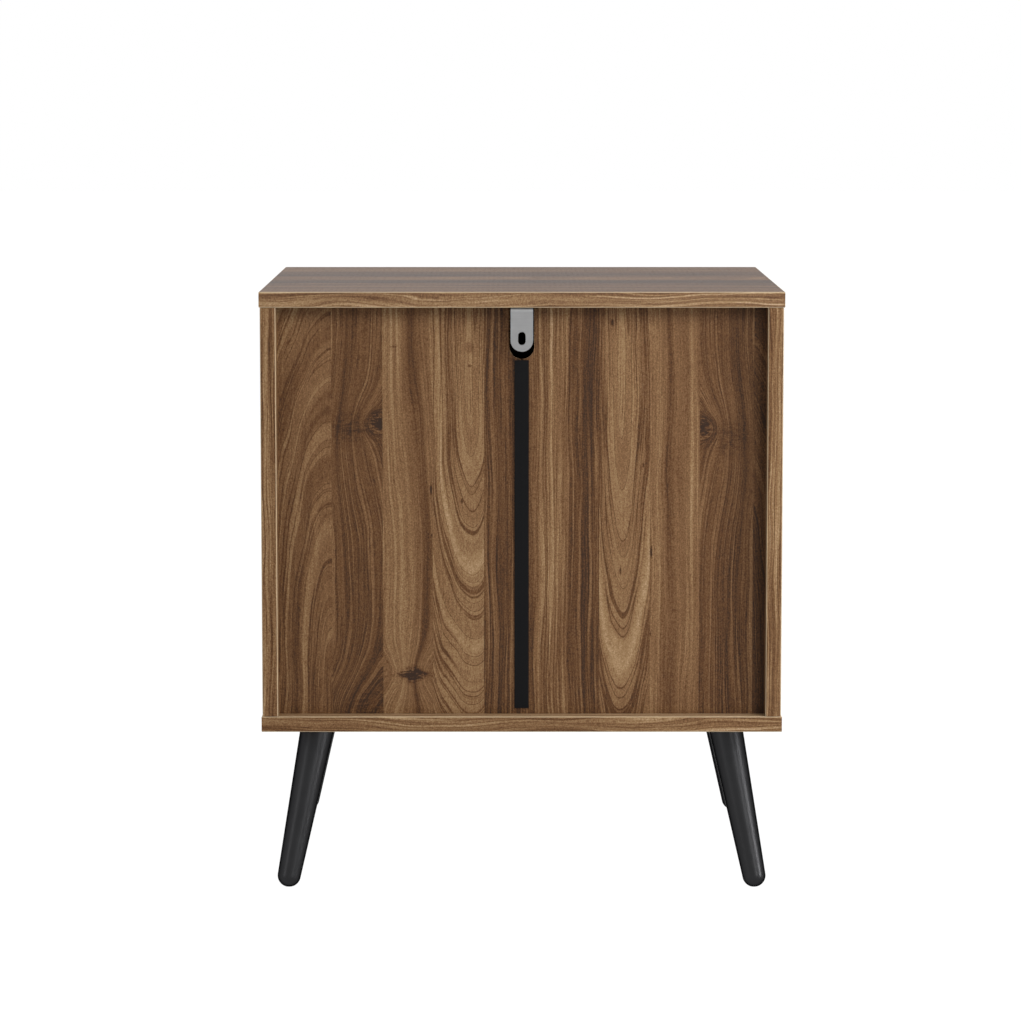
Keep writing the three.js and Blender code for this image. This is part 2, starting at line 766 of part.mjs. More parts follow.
const nightstand = new THREE.Group();
const cabinet = new THREE.Group();
cabinet.position.y = (knobProjection - frontRecess + seam) / 2;
nightstand.add(cabinet);
cabinet.add(carcass(), wallFixing(), legs());
const drawerBases = {
  lower_drawer: bottomTop + drawerReveal,
  upper_drawer: bottomTop + 2 * drawerReveal + frontHeight,
};
for (const [name, baseZ] of Object.entries(drawerBases)) {
  cabinet.add(drawer(name, baseZ));
  for (const [sideName, sign] of [['left', -1], ['right', 1]]) {
    slide(`${name}_${sideName}_slide`, sign, cabinet, baseZ + boxRise + slideRise);
  }
}

export default nightstand;
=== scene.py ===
"""Looks of a walnut bedside cabinet, seen from behind as in the photograph.

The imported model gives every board, leg, slide and fitting. This script dresses them in wood, paint
and steel, makes the legs, knobs, screws and ball cages finer, adds the screws of the slides, and
sets up the camera, lamps and floor.
Lengths are in millimetres where a name or comment says so, otherwise in metres.
"""

import math
from dataclasses import dataclass, replace

import bmesh
import bpy
from mathutils import Matrix, Vector


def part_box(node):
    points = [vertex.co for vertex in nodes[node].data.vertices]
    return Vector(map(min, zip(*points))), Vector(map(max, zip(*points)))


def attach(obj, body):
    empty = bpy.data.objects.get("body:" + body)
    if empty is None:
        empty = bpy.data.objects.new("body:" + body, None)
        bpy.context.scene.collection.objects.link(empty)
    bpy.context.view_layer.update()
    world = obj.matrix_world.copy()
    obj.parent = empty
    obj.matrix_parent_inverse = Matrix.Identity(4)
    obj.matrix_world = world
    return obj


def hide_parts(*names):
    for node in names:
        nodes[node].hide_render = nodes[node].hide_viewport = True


MM = 0.001
AXES = {"x": 0, "y": 1, "z": 2}

# The photograph's view, fitted to the corners of the cabinet
CAMERA_PLACE = (0.0108, 3.9304, 0.7992)
CAMERA_TILT = math.radians(83.3855)
CAMERA_LENS = 136.92
CAMERA_SENSOR = 36
CAMERA_REACH = 50

# For each lamp its place, its width and its power in watts
LAMPS = {
    "key": ((-1.45, 2.6, 2.2), 1.5, 71),
    "fill": ((3.0, 2.4, 2.2), 1.2, 20),
    "side": ((-1.45, 0.8, 1.1), 0.9, 14),
    "front": ((2.2, -2.6, 2.0), 1.4, 48),
    "low_right": ((-1.35, 2.4, 0.3), 0.5, 5),
    "low_left": ((1.9, 1.8, 0.25), 0.5, 2.6),
    "low_side": ((-1.45, 0.8, 0.12), 0.35, 8),
}
LAMP_AIM = (0, 0, 0.35)
# The world's strength as a light on surfaces; in view it is 1
AMBIENT = 0.42
FLOOR_HALF_SIZE = 20
FLOOR_GREY = 0.55
FLOOR_GLOW = 1.13
# The glow's share of the floor in view; the rest is matt and keeps the shadow
FLOOR_GLOW_SHARE = 0.88

# Sizes of the legs, in millimetres; the seam is under the cabinet
LEG_TOP_RADIUS = 16.8
LEG_TIP_RADIUS = 11.3
LEG_FLAT_RADIUS = 4
LEG_LEAN_X = 28.4
LEG_LEAN_Y = 28
SEAM = 0.1

# Sizes of the knobs, in millimetres; heights are from the drawer front
KNOB_RADIUS = 14
KNOB_PROJECTION = 24
KNOB_BASE_RADIUS = 9
KNOB_BASE_HEIGHT = 3
KNOB_BASE_EASE = 0.4
KNOB_NECK_RADIUS = 6
KNOB_NECK_HEIGHT = 9
KNOB_FLARE_HEIGHT = 15
KNOB_ROUNDING = 4.5

# Sizes of the slides and their ball cages, in millimetres
SLIDE_DEPTH = 12.7
SLIDE_SHEET = 1.2
SLIDE_SCREW_PITCH = 164
CAGE_SHEET = 0.6
CAGE_BEND = 1.2
CAGE_BEND_MIDDLE = 0.35
CAGE_SPARE = 0.25
BALL_RADIUS = 1.75
BALLS_IN_ROW = 10
BALL_PITCH = 13.2
# For each ball cage: how far its web and its balls are from the cabinet side, and how far its rows
# of balls are from its middle
CAGES = {"outer": (1.8, 5.5, 19.5), "inner": (6.267, 9.318, 15.7)}
# A cage's windows, in shares of the way from its middle to a row of balls, and the strips of its
# section that they are in, counted from 0 at the lower edge
WINDOW_REACH = (1 / 3, 0.7)
WINDOW_STRIPS = (4, 6)

# Fineness of the round pieces
TURNED_STEPS = 96
SCREW_STEPS = 32
LEG_TIP_STEPS = 12
KNOB_FLARE_STEPS = 16
KNOB_ROUNDING_STEPS = 12
BALL_SUBDIVISIONS = 2
SHARP_ANGLE = math.radians(35)

# Half sections of screw heads, in shares of the head's radius and height
PAN_HEAD = ((1, 0), (1, 0.4), (0.94, 0.72), (0.8, 0.93), (0.66, 1))
FLUSH_HEAD = ((0, 0), (0.66, 0), (1, 0.8), (0.97, 1))
# The cross recess: its half width and reach in shares of the head's radius, its floor in shares of
# its opening, and its depth in shares of the head's height
CROSS_HALF_WIDTH = 0.13
CROSS_REACH = 0.52
CROSS_FLOOR = 0.7
PAN_CROSS_DEPTH = 0.6
FLUSH_CROSS_DEPTH = 0.5


@dataclass(frozen=True)
class Screw:
    """A pan-head screw, in millimetres."""

    head_radius: float
    head_height: float
    shank_radius: float


KNOB_SCREW = Screw(4.2, 2.4, 2)
BRACKET_SCREW = Screw(3.75, 2.4, 1.75)
SLIDE_SCREW = Screw(3.4, 1.8, 1.9)
FLUSH_SCREW_RADIUS = 2.2


@dataclass(frozen=True)
class Noise:
    """A noise in a material: how many waves to a millimetre along three ways, and its detail."""

    pitch: tuple
    detail: float = 1
    roughness: float = 0.5


# Noises of the wood, across the grain, along it and into the board
WAVE = Noise((0.035, 0.007, 0.03))
RIPPLE = Noise((0.11, 0.022, 0.03))
BANDS = Noise((0.1, 0.002, 0.02))
RINGS = Noise((0.32, 0.003, 0.02), 2, 0.6)
FIBRES = Noise((0.75, 0.009, 1), 2, 0.65)
GRIT = Noise((1.1, 0.8, 1))
PORES = Noise((1.9, 0.2, 1))
CRACKS = Noise((0.16, 0.6, 1), 3, 0.75)
# How much each of them changes the tone
BANDS_TONE = 0.9
RINGS_TONE = 1.3
WAVE_TONE = 0.5
GRIT_TONE = 0.6
PORE_TONE = 0.12
CRACK_TONE = 1.7
UNCRACKED_TONE = 0.15
# How many millimetres the ripple moves the rings
RIPPLE_REACH = 2.5
# Where a dark ring line ends, and the least steepness of the rings that it is narrowed for
LINE_EDGE = 0.08
LEAST_STEEPNESS = 0.3
# How much closer the rings are in a knot
SWIRL_PITCH = 1.5
# From where to where each of these rises from none to full
PORE_EDGES = (0.56, 0.68)
CRACK_EDGES = (0.38, 0.6)
SWIRL_EDGES = (0, 0.8)
SHADE_EDGES = (0.3, 1)
MARK_EDGES = (1, 0.35)
# The pale arris: partly the edge band's own lighter colour, partly a painted highlight on the eased
# edges
ARRIS_AND_HIGHLIGHT_EDGES = (0.97, 0.93)
ARRIS_AND_HIGHLIGHT_SHARE = 0.7
# How much a surface has to face along an axis to count as facing that way
FACING = 0.6
# The wood's gloss, and its relief in millimetres
WOOD_ROUGHNESS = 0.5
FIBRE_GLOSS = 0.12
PORE_ROUGHNESS = 0.1
FIBRE_RELIEF = 0.5
WOOD_RELIEF = 0.05
WOOD_SHEEN = 0.15
TOP_SHEEN = 0.25

# Paint: its noises, how much they lighten it and change its gloss, and its relief in millimetres
PAINT_WAVES = Noise((0.09, 0.09, 0.09), 2)
PAINT_SPOTS = Noise((1.7, 1.7, 1.7), 2, 0.6)
PAINT_WAVE_TINT = 0.6
PAINT_SPOT_TINT = 0.5
PAINT_DARK = 0.3
PAINT_WAVE_GLOSS = 0.12
PAINT_SPOT_GLOSS = 0.05
PAINT_RELIEF = 0.04

# Plastic: the same, with this many cells of its grain to a millimetre
PLASTIC_LINES = Noise((1.4, 1.4, 0.01), 2)
PLASTIC_CELLS = 2.2
PLASTIC_LINE_EDGES = (0.3, 0.75)
PLASTIC_LINE_TINT = 0.7
PLASTIC_GRAIN_TINT = 0.3
PLASTIC_LINE_GLOSS = 0.12
PLASTIC_RELIEF = 0.03

# Steel: the same, with the rolling lines of each kind of piece
BRACKET_LINES = Noise((0.02, 0.02, 0.9), 2, 0.7)
SLIDE_LINES = Noise((1.6, 0.01, 1.6), 2, 0.7)
BALL_LINES = Noise((1.6, 1.6, 1.6), 2, 0.7)
FASTENER_LINES = Noise((0.8, 0.8, 0.8), 2, 0.7)
STEEL_CLOUDS = Noise((0.07, 0.07, 0.07), 3)
STEEL_LINE_TINT = 0.5
STEEL_CLOUD_TINT = 0.7
STEEL_DARK = 0.1
STEEL_LINE_GLOSS = 0.2
STEEL_CLOUD_GLOSS = 0.1
STEEL_RELIEF = 0.01


def srgb(red, green, blue):
    """A screen colour, each part 0 to 255, as the linear colour that a shader takes."""

    def linear(part):
        share = part / 255
        return share / 12.92 if share <= 0.04045 else ((share + 0.055) / 1.055) ** 2.4

    return (linear(red), linear(green), linear(blue), 1)


# Walnut from its darkest lines to its lightest streaks
WALNUT_TONES = (
    (0, srgb(40, 25, 15)),
    (0.08, srgb(57, 36, 19)),
    (0.25, srgb(78, 50, 26)),
    (0.5, srgb(106, 77, 50)),
    (0.75, srgb(135, 108, 76)),
    (1, srgb(167, 143, 116)),
)
# Pale colour of the eased arrises: partly the edge band's own lighter colour, partly a painted
# highlight
WALNUT_ARRIS_AND_HIGHLIGHT = srgb(181, 162, 133)


class Field:
    """A number, vector or colour that a shader works out at each place of a surface."""

    def __init__(self, tree, socket):
        self.tree = tree
        self.socket = socket
        self.wide = socket.type != "VALUE"

    def run(self, operation, *others):
        """One math node on this field and the other values."""
        values = (self, *others)
        wide = any(v.wide if isinstance(v, Field) else isinstance(v, tuple) for v in values)
        return run_math(self.tree, operation, values, wide)

    def __add__(self, other):
        return self.run("ADD", other)

    def __sub__(self, other):
        return self.run("SUBTRACT", other)

    def __mul__(self, other):
        return self.run("MULTIPLY", other)

    def __truediv__(self, other):
        return self.run("DIVIDE", other)

    __radd__ = __add__
    __rmul__ = __mul__

    def __rsub__(self, other):
        return run_math(self.tree, "SUBTRACT", (other, self), self.wide)

    def above(self, edge):
        """1 where the field is over the edge, 0 elsewhere."""
        return self.run("GREATER_THAN", edge)

    def ramp_between(self, low, high):
        """Rises smoothly from 0 at low to 1 at high; high may be the lower one."""
        node = self.tree.nodes.new("ShaderNodeMapRange")
        node.interpolation_type = "SMOOTHSTEP"
        feed(self.tree, node.inputs["Value"], self)
        feed(self.tree, node.inputs["From Min"], low)
        feed(self.tree, node.inputs["From Max"], high)
        return Field(self.tree, node.outputs["Result"])

    def bell(self):
        """1 at zero and fading to 0 on both sides."""
        return (self * self * -1).run("EXPONENT")

    def length(self):
        """The length of a vector."""
        return self.run("LENGTH")

    def parts(self):
        """The three parts of a vector."""
        node = self.tree.nodes.new("ShaderNodeSeparateXYZ")
        feed(self.tree, node.inputs[0], self)
        return [Field(self.tree, socket) for socket in node.outputs]

    def towards(self, other, share):
        """This field, moved to the other by a share from 0 to 1."""
        return self + (other - self) * share


def feed(tree, socket, value):
    """Gives a node's socket a field or a fixed value."""
    if isinstance(value, Field):
        tree.links.new(value.socket, socket)
    else:
        socket.default_value = value


def run_math(tree, operation, values, wide):
    """One math node, which works on vectors where the values are wide."""
    node = tree.nodes.new("ShaderNodeVectorMath" if wide else "ShaderNodeMath")
    node.operation = operation
    for socket, value in zip(node.inputs, values):
        if wide and isinstance(value, (int, float)):
            value = (value, value, value)
        feed(tree, socket, value)
    return Field(tree, node.outputs["Value" if wide and operation == "LENGTH" else 0])


class Shader:
    """One node material, built from short calls."""

    def __init__(self, name):
        self.material = bpy.data.materials.new(name)
        self.material.use_nodes = True
        self.tree = self.material.node_tree
        self.tree.nodes.clear()

    def output_of(self, kind, socket):
        """An output of a new node that needs no input."""
        return Field(self.tree, self.tree.nodes.new(kind).outputs[socket])

    def place(self):
        """Place on the resting object, in millimetres."""
        return self.output_of("ShaderNodeTexCoord", "Object") * (1 / MM)

    def facing(self):
        """How much the surface faces along each axis, one way or the other."""
        return self.output_of("ShaderNodeNewGeometry", "True Normal").run("ABSOLUTE").parts()

    def join(self, x, y, z):
        """A vector of three numbers."""
        node = self.tree.nodes.new("ShaderNodeCombineXYZ")
        for socket, value in zip(node.inputs, (x, y, z)):
            feed(self.tree, socket, value)
        return Field(self.tree, node.outputs[0])

    def noise(self, place, kind):
        """A noise that swings around 0.5."""
        node = self.tree.nodes.new("ShaderNodeTexNoise")
        feed(self.tree, node.inputs["Vector"], place * kind.pitch)
        node.inputs["Scale"].default_value = 1
        node.inputs["Detail"].default_value = kind.detail
        node.inputs["Roughness"].default_value = kind.roughness
        return Field(self.tree, node.outputs[0])

    def swing(self, place, kind):
        """A noise that swings around 0."""
        return self.noise(place, kind) - 0.5

    def cells(self, place):
        """Distance to the nearest of the scattered points, one to each unit cell."""
        node = self.tree.nodes.new("ShaderNodeTexVoronoi")
        feed(self.tree, node.inputs["Vector"], place)
        node.inputs["Scale"].default_value = 1
        return Field(self.tree, node.outputs["Distance"])

    def colours(self, value, stops):
        """The colour for a value, from stops that are pairs of a value and its colour."""
        node = self.tree.nodes.new("ShaderNodeValToRGB")
        feed(self.tree, node.inputs[0], value)
        ramp = node.color_ramp
        while len(ramp.elements) < len(stops):
            ramp.elements.new(0.5)
        for element, (position, colour) in zip(ramp.elements, stops):
            element.position = position
            element.color = colour
        return Field(self.tree, node.outputs[0])

    def blend(self, first, second, share):
        """The first colour, moved to the second by a share from 0 to 1."""
        node = self.tree.nodes.new("ShaderNodeMix")
        node.data_type = "RGBA"
        feed(self.tree, node.inputs[0], share)
        feed(self.tree, node.inputs[6], first)
        feed(self.tree, node.inputs[7], second)
        return Field(self.tree, node.outputs[2])

    def bump(self, height, depth):
        """A normal for a surface that rises by up to the depth, in millimetres."""
        node = self.tree.nodes.new("ShaderNodeBump")
        feed(self.tree, node.inputs["Height"], height)
        node.inputs["Strength"].default_value = 1
        node.inputs["Distance"].default_value = depth * MM
        return Field(self.tree, node.outputs[0])

    def finish(self, colour, roughness, normal, fixed):
        """The surface itself; the fixed values, by their sockets' names, are the same all over."""
        surface = self.tree.nodes.new("ShaderNodeBsdfPrincipled")
        feed(self.tree, surface.inputs["Base Color"], colour)
        feed(self.tree, surface.inputs["Roughness"], roughness)
        feed(self.tree, surface.inputs["Normal"], normal)
        for socket_name, value in fixed.items():
            surface.inputs[socket_name].default_value = value
        output = self.tree.nodes.new("ShaderNodeOutputMaterial")
        self.tree.links.new(surface.outputs[0], output.inputs["Surface"])
        return self.material


# A streak that adds nothing
NO_STREAK = (0, 1, 0)


@dataclass(frozen=True)
class Leaf:
    """One strip of veneer. Places are in millimetres, across and along the grain.

    Its growth rings are long ovals around the heart. Taper says how fast they close above and
    below it, core how blunt the ovals are there, and wild how much the rings wander.
    A streak is a ring's distance from the heart, its half-width, and what it adds to the tone.
    """

    start: float
    tone: float
    heart: tuple
    taper: tuple = (0.012, 0.012)
    contrast: float = 0.5
    core: float = 3
    lines: float = 0.08
    fibre: float = 1.3
    wild: float = 11
    streaks: tuple = (NO_STREAK, NO_STREAK)


@dataclass(frozen=True)
class Knot:
    """A place that the grain runs around: places in millimetres, across and along the grain.

    It moves the rings across by push, draws them together by pinch, turns them into circles by
    swirl, and darkens its middle. It changes nothing outside its span across the grain.
    """

    place: tuple
    reach: tuple
    span: tuple
    push: float = 0
    pinch: float = 0
    swirl: float = 0
    dark: float = 0


@dataclass(frozen=True)
class Mark:
    """A small dark check or pin knot, an oval in millimetres."""

    place: tuple
    size: tuple
    dark: float


# The back's veneer, from its -X edge to its +X edge
BACK_LEAVES = (
    # This leaf by the side panel is darker than its twin at the +X edge: partly its own tone, partly
    # painted shadow of the side panel
    Leaf(-240, 0.25, (-211, 250), taper=(0.17, 0.02), lines=0.2, fibre=0.7, wild=18),
    Leaf(
        -222, 0.4, (-135, 450), contrast=0.36, lines=0.22, fibre=1.1,
        streaks=((63, 14, -0.04), NO_STREAK),
    ),
    Leaf(
        -170.6, 0.49, (-226, 440), contrast=0.4, fibre=0.9,
        streaks=((86, 4.5, -0.26), (64, 1.6, 0.16)),
    ),
    Leaf(
        -122.9, 0.59, (-97, 470), taper=(0.03, 0.12), contrast=0.36, core=2, lines=0.34, fibre=0.5,
        wild=13, streaks=((0, 5, 0.06), (30, 2.4, 0.1)),
    ),
    Leaf(
        -74.4, 0.45, (60, 370), contrast=0.6, lines=0.16, fibre=1.3,
        streaks=((123, 10, -0.2), (98, 8, 0.02)),
    ),
    Leaf(-26.3, 0.39, (70, 370), lines=0.16, fibre=1.4),
    Leaf(0, 0.27, (-60, 370), lines=0.2, fibre=1.4, streaks=((73, 5, 0.16), NO_STREAK)),
    Leaf(
        36.2, 0.59, (49, 470), taper=(0.03, 0.2), contrast=0.36, core=2, lines=0.34, fibre=0.5,
        wild=13, streaks=((0, 5, 0.04), (31.5, 1.8, 0.1)),
    ),
    Leaf(
        85.2, 0.53, (40, 370), contrast=0.4, fibre=0.9,
        streaks=((64, 4.5, -0.26), (80, 2, 0.14)),
    ),
    Leaf(133.3, 0.39, (95, 455), contrast=0.35, lines=0.22, fibre=1.1),
    Leaf(182.3, 0.46, (183, 200), taper=(0.2, 0.02), lines=0.26, fibre=0.6, wild=16),
)
# The leaves that the other boards are laid from, in their order there
MIXED_LEAVES = tuple(BACK_LEAVES[i] for i in (8, 3, 9, 4, 7, 6, 10, 2))

# The spans of the back's leaves that have knots
LEAF_KNOT = (133.3, 182.3)
LEAF_EYE = (85.2, 133.3)
LEAF_SHADE = (-222, -170.6)
BACK_KNOTS = (
    Knot((138, 457), (17, 24), LEAF_KNOT, push=-15),
    Knot((150, 430), (42, 62), LEAF_KNOT, push=-16),
    Knot((138, 454), (15, 16), LEAF_KNOT, swirl=0.9),
    Knot((138, 455), (11, 14), LEAF_KNOT, dark=0.42),
    Knot((164, 450), (26, 20), LEAF_KNOT, dark=0.1),
    Knot((150, 168), (46, 46), LEAF_KNOT, push=-42, dark=0.1),
    Knot((100, 320), (80, 150), LEAF_EYE, push=14),
    Knot((105, 211), (30, 22), LEAF_EYE, pinch=1.3, push=-5),
    Knot((104, 211), (24, 5), LEAF_EYE, dark=0.36),
    Knot((105, 211), (13, 10), LEAF_EYE, dark=0.44),
    Knot((-174, 452), (17, 24), LEAF_SHADE, push=14),
    Knot((-184, 425), (42, 62), LEAF_SHADE, push=14),
    Knot((-174, 449), (15, 16), LEAF_SHADE, swirl=0.9),
    Knot((-174, 450), (10, 14), LEAF_SHADE, dark=0.42),
    Knot((-198, 440), (26, 22), LEAF_SHADE, dark=0.1),
)
BACK_MARKS = (
    Mark((136, 455), (2.4, 5.5), 0.4),
    Mark((-173.5, 450), (2.2, 5), 0.4),
    Mark((107, 211.5), (6, 1.8), 0.4),
    Mark((87.1, 390), (1.5, 7), 0.5),
    Mark((86.2, 346.4), (1.2, 2.2), 0.35),
    Mark((50.4, 526.7), (6, 8), 0.16),
    Mark((49.5, 509.4), (2.6, 2), 0.35),
    Mark((57.3, 379.3), (1.6, 3.4), 0.4),
    Mark((-86.3, 550.6), (2, 4.5), 0.35),
    Mark((-116.5, 414.1), (1.4, 3), 0.35),
    Mark((-94.8, 311.5), (1.2, 5), 0.4),
    Mark((-124.5, 329.9), (1.3, 8), 0.5),
    Mark((-123.9, 250.2), (1.2, 3), 0.35),
    Mark((123.1, 527.6), (5.5, 1.4), 0.22),
    Mark((160, 447), (26, 2.2), 0.1),
)

# The banding on the edges of the boards
BAND = Leaf(0, 0.66, (0, 0), taper=(0.04, 0.04), contrast=0.6, fibre=2)
WILD_BAND = replace(BAND, fibre=0.8, lines=0.26, wild=22)
BACK_BAND = replace(BAND, tone=0.8, heart=(190, 0))
TOP_BAND = replace(WILD_BAND, tone=0.72, heart=(552, -60), contrast=0.8)
BOTTOM_BAND = replace(WILD_BAND, tone=0.64, heart=(186, 40), contrast=0.7)
SIDE_BAND = replace(BAND, tone=0.52, heart=(0, 370), taper=(0.01, 0.01), contrast=0.52, fibre=2.8)
FRONT_BAND = replace(BAND, tone=0.62, heart=(-190, 0))
BOX_SIDE_BAND = replace(BAND, heart=(200, 0))
BOX_BACK_BAND = replace(BAND, heart=(170, 0))
BOX_BOTTOM_BAND = replace(BAND, tone=0.6, heart=(200, 0))


def laid(low, pitch, count, along, tone=0.0):
    """Mixed strips of veneer laid edge to edge on a board, from low upwards.

    Their hearts lie by turns above and below the place along the grain, at a third of the height
    that they have on the back.
    """
    strips = []
    for i in range(count):
        leaf = MIXED_LEAVES[i % len(MIXED_LEAVES)]
        start = low + i * pitch
        heart = (leaf.heart[0] + start - leaf.start, along + leaf.heart[1] / 3 * (-1) ** i)
        strips.append(replace(leaf, start=start, heart=heart, tone=leaf.tone + tone))
    return tuple(strips)


def by_leaf(begun, values):
    """The value of the leaf under each place; begun says where each leaf after the first begins."""
    field = values[0]
    for mask, before, here in zip(begun, values, values[1:]):
        change = tuple(new - old for new, old in zip(here, before))
        if any(change):
            field = mask.run("MULTIPLY_ADD", change, field)
    return field


def board_places(place, facing, thin, grain):
    """Places across, along and into the grain, the place across the faces, and 1 on the edges.

    On the edges the grain is that of the banding, which runs along the edge.
    """
    thin, grain = AXES[thin], AXES[grain]
    wide = 3 - thin - grain
    on_edge = 1 - facing[thin].above(FACING)
    on_end = facing[grain].above(FACING)
    across = place[wide].towards(place[thin], on_edge)
    along = place[grain].towards(place[wide], on_end)
    depth = place[thin].towards(place[wide] + place[grain] - along, on_edge)
    return across, along, depth, place[wide], on_edge


def distance_in(place, middle, size):
    """How far a place is from a middle, where 1 is the edge of an oval of that size."""
    return ((place - (*middle, 0.0)) * (1 / size[0], 1 / size[1], 0.0)).length()


def bent_by_knots(bent, knots, across, place):
    """The places across the rings, bent by the knots, with the knots' own circles and darkness.

    Each circle is a share and the ring's place in it.
    """
    swirls = []
    darkness = 0
    for knot in knots:
        distance = distance_in(place, knot.place, knot.reach)
        past_low, past_high = (across.above(edge) for edge in knot.span)
        nearness = distance.bell() * past_low * (1 - past_high)
        if knot.swirl:
            share = nearness.ramp_between(*SWIRL_EDGES) * knot.swirl
            swirls.append((share, distance * knot.reach[0] * SWIRL_PITCH))
        if knot.push:
            bent = bent + nearness * knot.push
        if knot.pinch:
            bent = bent + (across - knot.place[0]) * nearness * knot.pinch
        if knot.dark:
            darkness = nearness.ramp_between(*SHADE_EDGES) * knot.dark + darkness
    return bent, swirls, darkness


def arris_and_highlight_share(facing):
    """How much of the pale arris colour there is where the surface faces along no axis: partly the
    edge band's lighter colour, partly a painted highlight.
    """
    level = facing[0].run("MAXIMUM", facing[1]).run("MAXIMUM", facing[2])
    return level.ramp_between(*ARRIS_AND_HIGHLIGHT_EDGES) * ARRIS_AND_HIGHLIGHT_SHARE


def walnut(name, thin, grain, leaves, band, knots=(), marks=(), sheen=WOOD_SHEEN):
    """Walnut veneer on a board that is thin along one axis and has its grain along another.

    Its edges carry a banding strip with the grain along the edge, and its eased arrises are pale:
    partly their own lighter colour, partly a painted highlight.
    """
    shader = Shader(name)
    facing = shader.facing()
    across, along, depth, face_across, on_edge = board_places(
        shader.place().parts(), facing, thin, grain
    )
    place = shader.join(across, along, depth)
    begun = [face_across.above(leaf.start) for leaf in leaves[1:]]

    def banded(values_of):
        """Three values of the leaves on the faces and of the banding on the edges."""
        field = by_leaf(begun, [values_of(leaf) for leaf in leaves])
        if isinstance(field, tuple):
            field = shader.join(*field)
        return field.towards(values_of(band), on_edge).parts()

    heart_across, heart_along, core = banded(lambda leaf: (*leaf.heart, leaf.core))
    tone, contrast, fibre = banded(lambda leaf: (leaf.tone, leaf.contrast, leaf.fibre))
    taper_above, taper_below, lines = banded(lambda leaf: (*leaf.taper, leaf.lines))
    wild = banded(lambda leaf: (leaf.wild, 0, 0))[0]

    # The rings, bent by slow waves and by the knots
    wave = shader.swing(place, WAVE)
    bent = across + wave * wild + shader.swing(place, RIPPLE) * RIPPLE_REACH
    bent, swirls, darkness = bent_by_knots(bent, knots, across, place)
    aside = bent - heart_across
    rise = along - heart_along
    taper = taper_below.towards(taper_above, rise.above(0))
    ring = shader.join(aside, rise * taper, core).length()
    steepness = shader.join(aside, rise * taper * taper, 0).length() / ring
    for share, circle in swirls:
        ring = ring.towards(circle, share)

    # Bands, rings, fibres and pores of different fineness
    ring_place = shader.join(ring, along, depth)
    bent_place = shader.join(bent, along, depth)
    rings = shader.swing(ring_place, RINGS)
    fibres = shader.swing(bent_place, FIBRES)
    from_line = rings.run("ABSOLUTE") / steepness.run("MAXIMUM", LEAST_STEEPNESS)
    line = from_line.ramp_between(LINE_EDGE, 0)
    pore = shader.noise(bent_place, PORES).ramp_between(*PORE_EDGES)
    figure = shader.swing(ring_place, BANDS) * BANDS_TONE + rings * RINGS_TONE
    figure = figure + wave * WAVE_TONE + fibres * fibre
    value = tone + figure * contrast + shader.swing(bent_place, GRIT) * GRIT_TONE
    value = value - line * lines - pore * PORE_TONE
    for i in range(len(band.streaks)):
        from_heart, half_width, gain = banded(lambda leaf: leaf.streaks[i])
        value = value + ((ring - from_heart) / half_width).bell() * gain
    if knots:
        cracks = shader.noise(place, CRACKS).ramp_between(*CRACK_EDGES)
        value = value - darkness * (cracks * CRACK_TONE + UNCRACKED_TONE)
    for mark in marks:
        inside = distance_in(place, mark.place, mark.size).ramp_between(*MARK_EDGES)
        value = value - inside * mark.dark

    # The pale arrises are blended in: partly the edge band's lighter colour, partly a painted
    # highlight
    return shader.finish(
        shader.blend(shader.colours(value, WALNUT_TONES), WALNUT_ARRIS_AND_HIGHLIGHT, arris_and_highlight_share(facing)),
        WOOD_ROUGHNESS - fibres * FIBRE_GLOSS + pore * PORE_ROUGHNESS,
        shader.bump(fibres * FIBRE_RELIEF - pore, WOOD_RELIEF),
        {"Specular IOR Level": sheen},
    )


def paint(name, colour, worn, roughness, fixed):
    """Sprayed paint with the faint waves of the spray and slightly lighter high spots."""
    shader = Shader(name)
    place = shader.place()
    waves = shader.noise(place, PAINT_WAVES)
    spots = shader.noise(place, PAINT_SPOTS)
    share = waves * PAINT_WAVE_TINT + spots * PAINT_SPOT_TINT - PAINT_DARK
    tint = shader.blend(colour, worn, share.ramp_between(0, 1))
    shine = roughness + (waves - 0.5) * PAINT_WAVE_GLOSS + (spots - 0.5) * PAINT_SPOT_GLOSS
    return shader.finish(tint, shine, shader.bump(spots, PAINT_RELIEF), fixed)


def moulded(name, colour, worn, roughness, fixed):
    """Extruded plastic with fine lines along its length and a matt grain."""
    shader = Shader(name)
    place = shader.place()
    drawn = shader.noise(place, PLASTIC_LINES)
    grain = shader.cells(place * PLASTIC_CELLS)
    share = drawn.ramp_between(*PLASTIC_LINE_EDGES) * PLASTIC_LINE_TINT
    tint = shader.blend(colour, worn, share + grain * PLASTIC_GRAIN_TINT)
    shine = roughness + (drawn - 0.5) * PLASTIC_LINE_GLOSS
    return shader.finish(tint, shine, shader.bump(grain, PLASTIC_RELIEF), fixed)


def steel(name, colour, bright, roughness, lines, fixed):
    """Zinc-plated steel with rolling lines and a cloudy plating."""
    shader = Shader(name)
    place = shader.place()
    drawn = shader.noise(place, lines)
    clouds = shader.noise(place, STEEL_CLOUDS)
    share = drawn * STEEL_LINE_TINT + clouds * STEEL_CLOUD_TINT - STEEL_DARK
    tint = shader.blend(colour, bright, share.ramp_between(0, 1))
    shine = roughness + (drawn - 0.5) * STEEL_LINE_GLOSS + (clouds - 0.5) * STEEL_CLOUD_GLOSS
    return shader.finish(tint, shine, shader.bump(drawn, STEEL_RELIEF), fixed)


